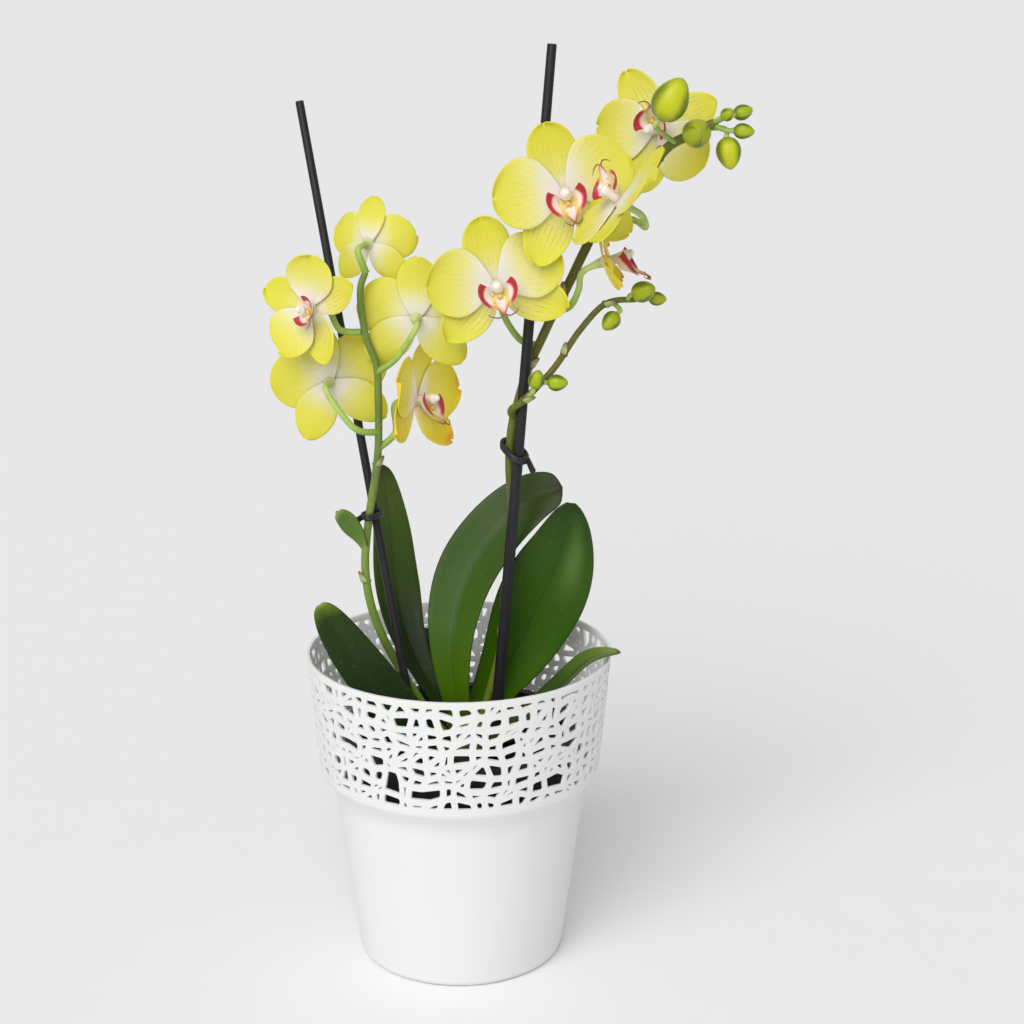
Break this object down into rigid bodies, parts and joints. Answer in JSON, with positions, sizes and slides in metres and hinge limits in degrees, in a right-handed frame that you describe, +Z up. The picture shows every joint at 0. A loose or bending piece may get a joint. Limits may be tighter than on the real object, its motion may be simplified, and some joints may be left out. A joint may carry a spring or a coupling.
{
  "type": "potted orchid",
  "caption": "Moth orchid with yellow red-lipped flowers on staked stalks, rooted in bark in a white cover pot with an openwork lace collar; stands on its flat base.",
  "frame": {"origin": "middle of the cover pot's flat base, on the surface it stands on", "axes": "+Z up along the pot's axis; the open flowers mostly face -Y; +X is to the right seen from the front"},
  "size_m": [0.2271, 0.1519, 0.4491],
  "materials": {
    "pot": "satin",
    "grow_pot": "satin",
    "bark": "matte",
    "stake": "satin",
    "clip": "satin",
    "leaf": "satin",
    "stalk": "satin",
    "petal": "matte",
    "lip": "satin",
    "bud": "satin"
  },
  "bodies": {
    "root": {"cover_pot": "pot", "grow_pot": "grow_pot", "bark_mix": "bark", "stake_left": "stake", "stake_right": "stake", "clip_left": "clip", "clip_right": "clip", "crown": "stalk", "stalk_left": "stalk", "stalk_right": "stalk", "leaf_upper_left": "leaf", "leaf_upper_right": "leaf", "leaf_tall_left": "leaf", "leaf_low_left": "leaf", "leaf_low_right": "leaf", "leaf_low_back": "leaf", "bract_leaf": "leaf", "tepals_left_1": "petal", "tepals_left_2": "petal", "tepals_left_3": "petal", "tepals_left_4": "petal", "tepals_left_5": "petal", "tepals_right_1": "petal", "tepals_right_2": "petal", "tepals_right_3": "petal", "tepals_right_4": "petal", "tepals_right_5": "petal", "lip_left_1": "lip", "lip_left_2": "lip", "lip_left_3": "lip", "lip_left_4": "lip", "lip_left_5": "lip", "lip_right_1": "lip", "lip_right_2": "lip", "lip_right_3": "lip", "lip_right_4": "lip", "lip_right_5": "lip", "bud_top_1": "bud", "bud_top_2": "bud", "bud_top_3": "bud", "bud_top_4": "bud", "bud_top_5": "bud", "bud_top_6": "bud", "bud_branch_1": "bud", "bud_branch_2": "bud", "bud_branch_3": "bud", "bud_low_1": "bud", "bud_low_2": "bud"}
  },
  "joints": []
}
